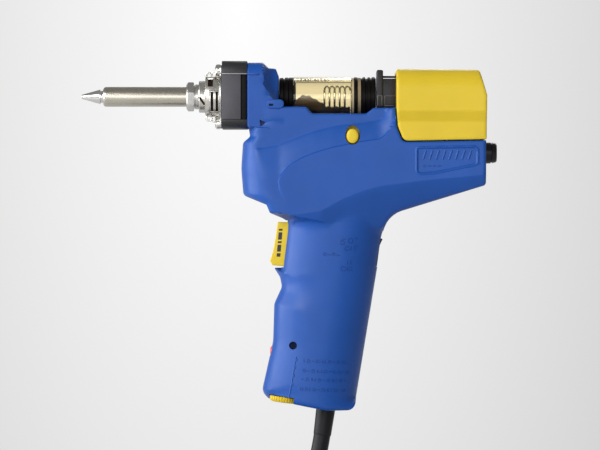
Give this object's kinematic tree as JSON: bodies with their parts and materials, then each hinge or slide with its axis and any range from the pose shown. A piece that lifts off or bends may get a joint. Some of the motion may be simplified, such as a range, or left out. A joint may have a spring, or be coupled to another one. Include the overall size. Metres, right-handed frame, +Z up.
{
  "type": "desoldering gun",
  "caption": "Pistol-shaped desoldering gun: heated hollow nozzle, glass solder catcher, vacuum pump behind it, trigger grip with heat control, mains cord coiled below.",
  "frame": {"origin": "middle of the grip, on the joint plane between the two halves of the housing", "axes": "-X out of the nozzle, +Z up along the hand, +Y away from the side with the release button"},
  "size_m": [0.1871, 0.1146, 0.2526],
  "materials": {
    "barrel_steel": "satin",
    "bright_steel": "polished",
    "ceramic": "matte",
    "phenolic": "textured",
    "black_rubber": "matte",
    "amber_glass": "clear",
    "blue_plastic": "semi-gloss",
    "yellow_plastic": "semi-gloss",
    "black_plastic": "satin",
    "felt": "matte",
    "motor_can": "satin",
    "brass": "satin",
    "ivory_plastic": "satin",
    "board": "satin",
    "trimmer_blue": "satin",
    "red_lens": "glossy",
    "lamp_clear": "glossy",
    "cord_rubber": "satin"
  },
  "bodies": {
    "gun": {"nozzle": "barrel_steel", "barrel": "barrel_steel", "heating_element": "ceramic", "vacuum_pipe": "bright_steel", "barrel_nut": "barrel_steel", "clamp_collar": "barrel_steel", "element_cover": "bright_steel", "element_screws": "bright_steel", "front_block": "phenolic", "heat_gasket": "black_rubber", "front_seal": "black_rubber", "filter_tube": "amber_glass", "solder_spring": "bright_steel", "baffle_plate": "ceramic", "filter_pad": "ceramic", "rear_seal": "black_rubber", "holder_spring": "bright_steel", "vacuum_hose": "black_rubber", "release_spring": "bright_steel", "housing_left": "blue_plastic", "housing_right": "blue_plastic", "housing_screws": "bright_steel", "pump_cover": "yellow_plastic", "cover_screws": "bright_steel", "exhaust_cap": "black_plastic", "exhaust_filter": "felt", "exhaust_duct": "black_rubber", "motor": "motor_can", "pump_base": "black_plastic", "diaphragm": "black_rubber", "pump_chamber": "ivory_plastic", "valve_plate": "black_rubber", "pump_head": "ivory_plastic", "pump_head_screws": "bright_steel", "trigger_pin": "bright_steel", "trigger_spring": "bright_steel", "trigger_switch": "black_plastic", "power_switch": "black_plastic", "circuit_board": "board", "board_parts": "black_plastic", "trimmer": "trimmer_blue", "temperature_pot": "black_plastic", "lamp_lens": "red_lens", "lamp_led": "lamp_clear", "cord_sleeve": "cord_rubber", "cord_clamp": "black_plastic", "cord_lead": "cord_rubber", "cord_coil": "cord_rubber", "cord_tail": "cord_rubber", "cord_tie": "black_plastic", "plug_body": "cord_rubber", "plug_pins": "brass"},
    "trigger": {"trigger": "yellow_plastic"},
    "release_button": {"release_button": "yellow_plastic"},
    "back_holder": {"back_holder": "black_plastic"},
    "power_rocker": {"power_rocker": "black_plastic"},
    "temperature_wheel": {"temperature_wheel": "yellow_plastic"},
    "rotor": {"motor_shaft": "bright_steel", "crank": "brass"},
    "connecting_rod": {"connecting_rod": "ivory_plastic"}
  },
  "joints": [
    {"name": "trigger_press", "type": "hinge", "parent": "gun", "child": "trigger", "pos_m": [-0.0125, 0, 0.0445], "axis": [0, -1, 0], "range_deg": [0, 6], "stiffness_Nm_per_rad": 0.2, "springref_deg": -5.73, "deforming": ["trigger_spring"]},
    {"name": "release_press", "type": "slide", "parent": "gun", "child": "release_button", "axis": [0, 1, 0], "range_m": [0, 0.0025], "stiffness_N_per_m": 300, "springref_m": -0.002, "deforming": ["release_spring"]},
    {"name": "holder_slide", "type": "slide", "parent": "gun", "child": "back_holder", "axis": [1, 0, 0], "range_m": [0, 0.005], "stiffness_N_per_m": 200, "springref_m": -0.005, "deforming": ["holder_spring", "vacuum_hose"]},
    {"name": "power_rock", "type": "hinge", "parent": "gun", "child": "power_rocker", "pos_m": [0.02315, 0, 0.03017], "axis": [0, -1, 0], "range_deg": [0, 16]},
    {"name": "temperature_turn", "type": "hinge", "parent": "gun", "child": "temperature_wheel", "pos_m": [-0.01712, -0.0092, -0.03704], "axis": [0.134, 0, 0.991], "range_deg": [-135, 135]},
    {"name": "motor_spin", "type": "hinge", "parent": "gun", "child": "rotor", "pos_m": [0.04, 0, 0.0628], "axis": [1, 0, 0], "continuous": true},
    {"name": "rod_swing", "type": "hinge", "parent": "rotor", "child": "connecting_rod", "pos_m": [0.0555, 0, 0.0643], "axis": [1, 0, 0], "continuous": true}
  ],
  "couplings": [
    {"joint": "holder_slide", "follows": "release_press", "ratio": 2},
    {"joint": "rod_swing", "follows": "motor_spin", "ratio": -1}
  ]
}
